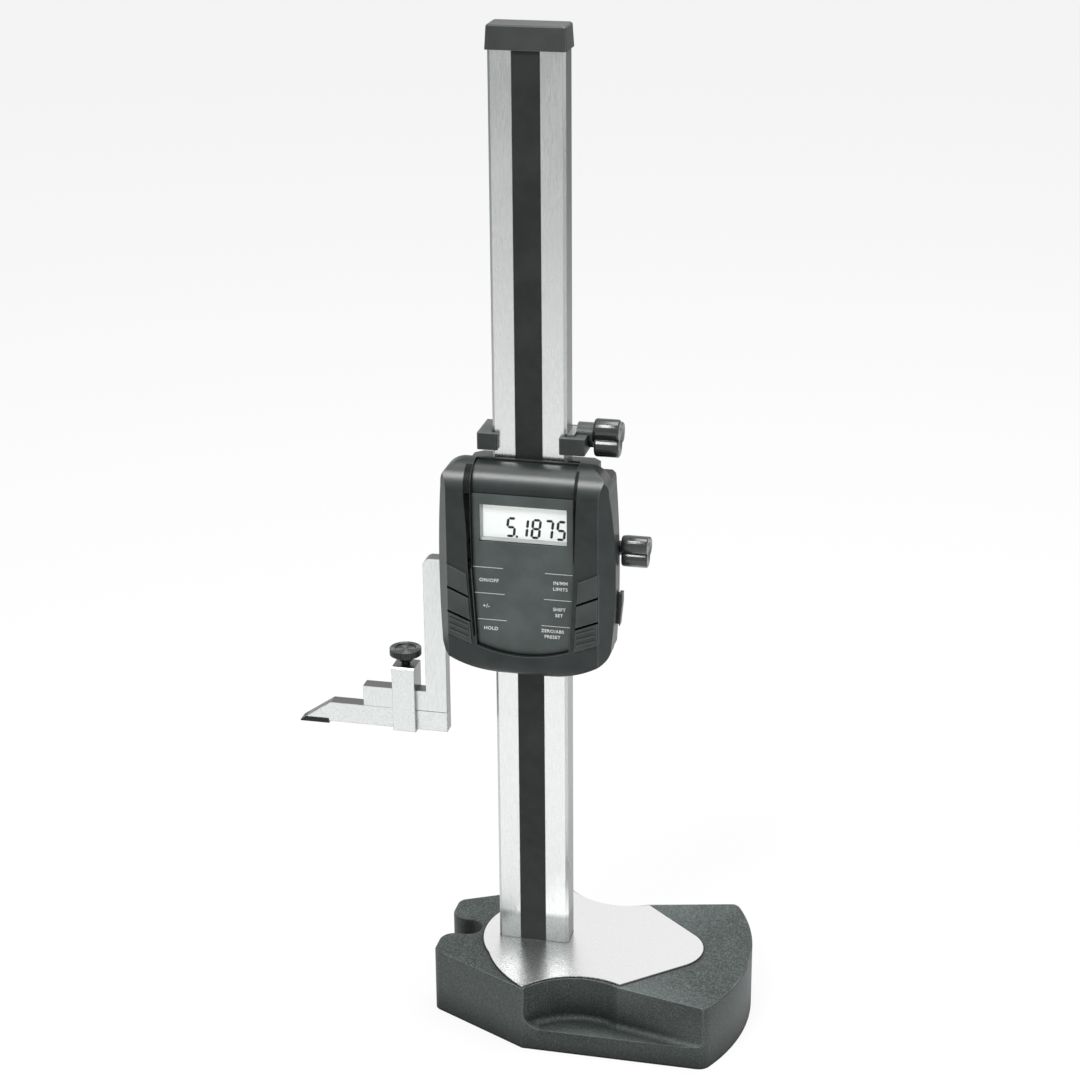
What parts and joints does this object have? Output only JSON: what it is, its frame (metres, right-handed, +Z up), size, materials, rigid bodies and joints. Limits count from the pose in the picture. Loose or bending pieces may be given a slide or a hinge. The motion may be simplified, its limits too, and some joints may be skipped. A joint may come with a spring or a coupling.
{
  "type": "digital height gauge",
  "caption": "Height gauge: a slider with a digital display, jaw and clamped scriber rides a steel column on a cast iron base, with a fine adjustment carriage above.",
  "frame": {"origin": "on the surface plate, below the column's axis, on the base's underside", "axes": "+Z up along the column, +X to the long end of the base and away from the scriber, -Y to the display side"},
  "size_m": [0.2103, 0.0956, 0.4525],
  "materials": {
    "base_paint": "fine hammered dark grey-green paint",
    "column_steel": "ground and brushed",
    "strip_black": "matt black scale cover",
    "cap_plastic": "moulded charcoal plastic",
    "slider_metal": "dark anodised",
    "housing_plastic": "fine textured dark grey plastic",
    "key_plastic": "dark grey plastic",
    "panel_film": "flat grey printed film",
    "window_clear": "clear plate",
    "lcd_face": "pale reflective display",
    "board_green": "printed circuit board",
    "cell_steel": "cell can",
    "spring_steel": "bright sheet steel",
    "gib_bronze": "ground gib",
    "screw_steel": "blackened steel",
    "knob_black": "black moulded knob",
    "jaw_steel": "satin chromed steel",
    "carbide": "dark carbide"
  },
  "bodies": {
    "stand": {"base_casting": "base_paint", "column_screws": "screw_steel", "column": "column_steel", "scale_strip": "strip_black", "top_cap": "cap_plastic"},
    "slider": {"slider_frame": "slider_metal", "slider_gib": "gib_bronze", "gib_screws": "screw_steel", "front_shell": "housing_plastic", "rear_cover_left": "housing_plastic", "rear_cover_right": "housing_plastic", "shell_screws": "screw_steel", "face_panel": "panel_film", "display_window": "window_clear", "lcd_module": "lcd_face", "circuit_board": "board_green", "board_screws": "screw_steel", "reading_head": "board_green", "battery": "cell_steel", "battery_clip": "spring_steel", "port_socket": "cap_plastic", "jaw_arm": "jaw_steel", "jaw_screws": "screw_steel", "fine_adjust_screw": "screw_steel"},
    "lock_knob": {"slider_lock_knob": "knob_black"},
    "carriage": {"fine_carriage": "slider_metal", "carriage_gib": "gib_bronze"},
    "carriage_knob": {"carriage_lock_knob": "knob_black"},
    "fine_wheel": {"fine_adjust_wheel": "screw_steel"},
    "scriber": {"scriber": "jaw_steel", "carbide_tip": "carbide"},
    "clamp": {"scriber_clamp": "jaw_steel"},
    "clamp_thumb": {"clamp_screw": "knob_black"},
    "port_plug": {"port_cover": "cap_plastic"},
    "power_button": {"power_key": "key_plastic"},
    "sign_button": {"sign_key": "key_plastic"},
    "hold_button": {"hold_key": "key_plastic"},
    "units_button": {"units_key": "key_plastic"},
    "preset_button": {"preset_key": "key_plastic"},
    "zero_button": {"zero_key": "key_plastic"}
  },
  "joints": [
    {"name": "slider_travel", "type": "slide", "parent": "stand", "child": "slider", "axis": [0, 0, 1], "range_m": [-0.1316, 0.156]},
    {"name": "fine_adjust", "type": "slide", "parent": "slider", "child": "carriage", "axis": [0, 0, 1], "range_m": [-0.003, 0.003]},
    {"name": "fine_wheel_turn", "type": "hinge", "parent": "carriage", "child": "fine_wheel", "pos_m": [0, 0.0175, 0.2755], "axis": [0, 0, 1], "range_deg": [-1440, 1440]},
    {"name": "slider_lock", "type": "hinge", "parent": "slider", "child": "lock_knob", "pos_m": [0.04, 0, 0.2278], "axis": [1, 0, 0], "range_deg": [0, 360]},
    {"name": "carriage_lock", "type": "hinge", "parent": "carriage", "child": "carriage_knob", "pos_m": [0.03, 0.003, 0.2778], "axis": [1, 0, 0], "range_deg": [0, 360]},
    {"name": "scriber_slide", "type": "slide", "parent": "slider", "child": "scriber", "axis": [-1, 0, 0], "range_m": [-0.012, 0.012]},
    {"name": "clamp_slide", "type": "slide", "parent": "slider", "child": "clamp", "axis": [-1, 0, 0], "range_m": [-0.002, 0.014]},
    {"name": "clamp_turn", "type": "hinge", "parent": "clamp", "child": "clamp_thumb", "pos_m": [-0.05975, 0, 0.165], "axis": [0, 0, 1], "range_deg": [0, 360]},
    {"name": "port_pull", "type": "slide", "parent": "slider", "child": "port_plug", "axis": [1, 0, 0], "range_m": [0, 0.004]},
    {"name": "power_press", "type": "slide", "parent": "slider", "child": "power_button", "axis": [0, 1, 0], "range_m": [0, 0.0007], "stiffness_N_per_m": 400},
    {"name": "sign_press", "type": "slide", "parent": "slider", "child": "sign_button", "axis": [0, 1, 0], "range_m": [0, 0.0007], "stiffness_N_per_m": 400},
    {"name": "hold_press", "type": "slide", "parent": "slider", "child": "hold_button", "axis": [0, 1, 0], "range_m": [0, 0.0007], "stiffness_N_per_m": 400},
    {"name": "units_press", "type": "slide", "parent": "slider", "child": "units_button", "axis": [0, 1, 0], "range_m": [0, 0.0007], "stiffness_N_per_m": 400},
    {"name": "preset_press", "type": "slide", "parent": "slider", "child": "preset_button", "axis": [0, 1, 0], "range_m": [0, 0.0007], "stiffness_N_per_m": 400},
    {"name": "zero_press", "type": "slide", "parent": "slider", "child": "zero_button", "axis": [0, 1, 0], "range_m": [0, 0.0007], "stiffness_N_per_m": 400}
  ],
  "couplings": [
    {"joint": "fine_wheel_turn", "follows": "fine_adjust", "rad_per_m": 8377.5}
  ]
}
